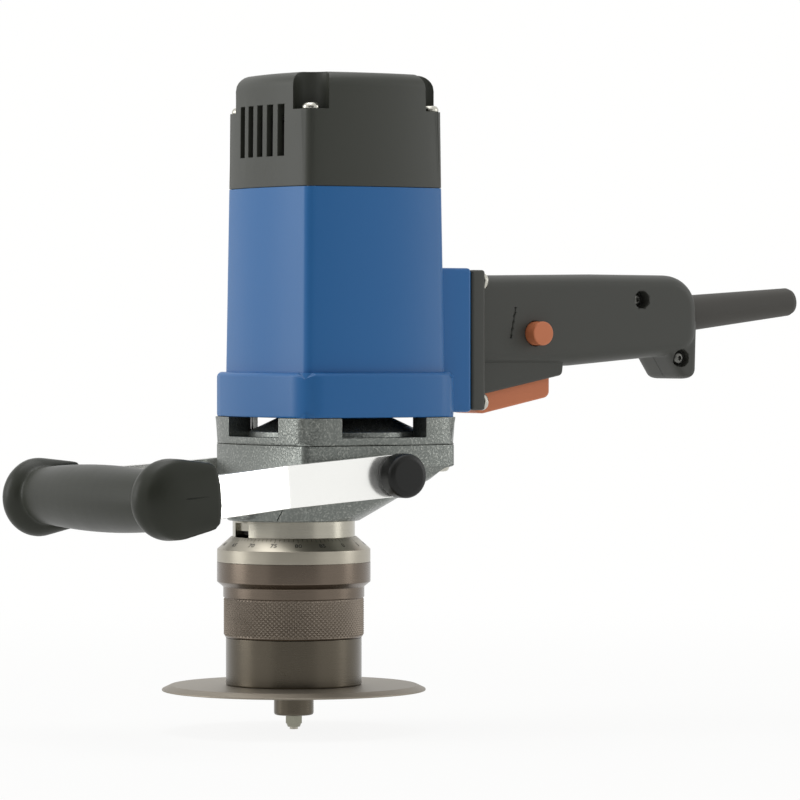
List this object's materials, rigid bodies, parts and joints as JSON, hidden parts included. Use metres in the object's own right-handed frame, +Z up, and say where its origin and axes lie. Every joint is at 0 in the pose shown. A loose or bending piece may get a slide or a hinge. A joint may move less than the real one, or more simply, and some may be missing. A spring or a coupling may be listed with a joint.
{
  "type": "edge milling machine",
  "caption": "Hand-held edge milling machine with an upright motor, a bar handle with a paddle switch, a bow handle and a depth-adjusting guide sleeve with a round base plate.",
  "frame": {"origin": "spindle axis at the underside of the base plate", "axes": "+Z up along the spindle axis, +X towards the main handle, -Y the side with the lock button"},
  "size_m": [0.4383, 0.159, 0.3271],
  "materials": {
    "blue_housing": "satin moulded nylon, blue",
    "black_cap": "satin moulded nylon, black",
    "black_handle": "satin moulded nylon, black",
    "black_knob": "satin moulded plastic, black",
    "grip_rubber": "soft moulded rubber, black",
    "sleeve_rubber": "soft moulded rubber, black",
    "cast_grey": "cast alloy with grey textured paint",
    "bright_strap": "bright plated flat steel",
    "turned_steel": "turned steel",
    "browned_ring": "browned steel with a diamond knurl",
    "browned_steel": "browned turned steel",
    "zinc_screw": "zinc plated steel",
    "dark_screw": "blackened steel",
    "spring_steel": "spring steel",
    "bearing_steel": "ground bearing steel",
    "bronze": "sintered bronze",
    "orange_plastic": "satin moulded plastic, orange",
    "inner_plastic": "moulded plastic, black",
    "laminated_iron": "laminated iron",
    "copper": "enamelled copper",
    "brass": "drawn brass",
    "carbon": "pressed carbon",
    "gear_steel": "hardened steel",
    "carbide": "coated carbide"
  },
  "bodies": {
    "housing": {"neck_tube": "turned_steel", "gear_case": "cast_grey", "gear_case_screws": "zinc_screw", "bearing_flange": "cast_grey", "motor_housing": "blue_housing", "top_cap": "black_cap", "cap_screws": "zinc_screw", "handle_shell_near": "black_handle", "handle_shell_far": "black_handle", "flange_screws": "zinc_screw", "shell_screws": "dark_screw", "cord_sleeve": "sleeve_rubber", "cord_clamp": "inner_plastic", "switch_body": "inner_plastic", "trigger_pin": "spring_steel", "trigger_spring": "spring_steel", "lock_spring": "spring_steel", "field_core": "laminated_iron", "field_coils": "copper", "brush_bridge": "inner_plastic", "bridge_screws": "zinc_screw", "brush_holders": "brass", "carbon_brushes": "carbon", "brush_springs": "spring_steel", "upper_bearing_ring": "bearing_steel", "lower_bearing_ring": "bearing_steel", "spindle_bearing_ring": "bearing_steel", "spindle_bush": "bronze", "spindle_seal": "sleeve_rubber"},
    "guide": {"base_plate": "browned_steel", "plate_screws": "dark_screw", "guide_sleeve": "browned_steel", "guide_key": "dark_screw", "retaining_wire": "spring_steel"},
    "adjuster": {"adjusting_ring": "browned_ring", "scale_ring": "turned_steel"},
    "armature": {"armature_shaft": "turned_steel", "armature_core": "laminated_iron", "armature_coils": "copper", "commutator": "copper", "cooling_fan": "inner_plastic", "upper_bearing_race": "bearing_steel", "lower_bearing_race": "bearing_steel"},
    "spindle": {"spindle": "turned_steel", "drive_gear": "gear_steel", "gear_key": "dark_screw", "gear_circlip": "spring_steel", "spindle_bearing_race": "bearing_steel", "cutter_head": "gear_steel", "cutter_inserts": "carbide", "insert_screws": "dark_screw", "roller_bush": "turned_steel", "lock_nut": "zinc_screw"},
    "roller": {"guide_roller": "browned_steel"},
    "front_handle": {"front_grip": "grip_rubber", "front_straps": "bright_strap"},
    "knob_near": {"knob_near": "black_knob"},
    "knob_far": {"knob_far": "black_knob"},
    "trigger": {"trigger": "orange_plastic"},
    "lock_button": {"lock_button": "orange_plastic"}
  },
  "joints": [
    {"name": "guide_slide", "type": "slide", "parent": "housing", "child": "guide", "axis": [0, 0, 1], "range_m": [-0.004, 0.0075]},
    {"name": "adjuster_turn", "type": "hinge", "parent": "guide", "child": "adjuster", "pos_m": [0, 0, 0.05], "axis": [0, 0, 1], "range_deg": [-720, 1350]},
    {"name": "armature_spin", "type": "hinge", "parent": "housing", "child": "armature", "pos_m": [0.024, 0, 0.2], "axis": [0, 0, 1], "continuous": true},
    {"name": "spindle_spin", "type": "hinge", "parent": "housing", "child": "spindle", "pos_m": [0, 0, 0.09], "axis": [0, 0, 1], "continuous": true},
    {"name": "guide_roller_spin", "type": "hinge", "parent": "spindle", "child": "roller", "pos_m": [0, 0, -0.008], "axis": [0, 0, 1], "continuous": true},
    {"name": "front_handle_swing", "type": "hinge", "parent": "housing", "child": "front_handle", "pos_m": [0.027, 0, 0.1083], "axis": [0, 1, 0], "range_deg": [-20, 45]},
    {"name": "knob_near_turn", "type": "hinge", "parent": "front_handle", "child": "knob_near", "pos_m": [0.027, -0.06, 0.1083], "axis": [0, -1, 0], "range_deg": [0, 270]},
    {"name": "knob_far_turn", "type": "hinge", "parent": "front_handle", "child": "knob_far", "pos_m": [0.027, 0.06, 0.1083], "axis": [0, 1, 0], "range_deg": [0, 270]},
    {"name": "trigger_squeeze", "type": "hinge", "parent": "housing", "child": "trigger", "pos_m": [0.1017, 0, 0.1547], "axis": [0, -1, 0], "range_deg": [0, 6], "stiffness_Nm_per_rad": 2, "springref_deg": -8.59, "deforming": ["trigger_spring"]},
    {"name": "lock_button_press", "type": "slide", "parent": "housing", "child": "lock_button", "axis": [0, 1, 0], "range_m": [0, 0.003], "stiffness_N_per_m": 400, "springref_m": -0.002, "deforming": ["lock_spring"]}
  ],
  "couplings": [
    {"joint": "guide_slide", "follows": "adjuster_turn", "m_per_rad": 0.00031831},
    {"joint": "spindle_spin", "follows": "armature_spin", "ratio": -0.23077}
  ]
}
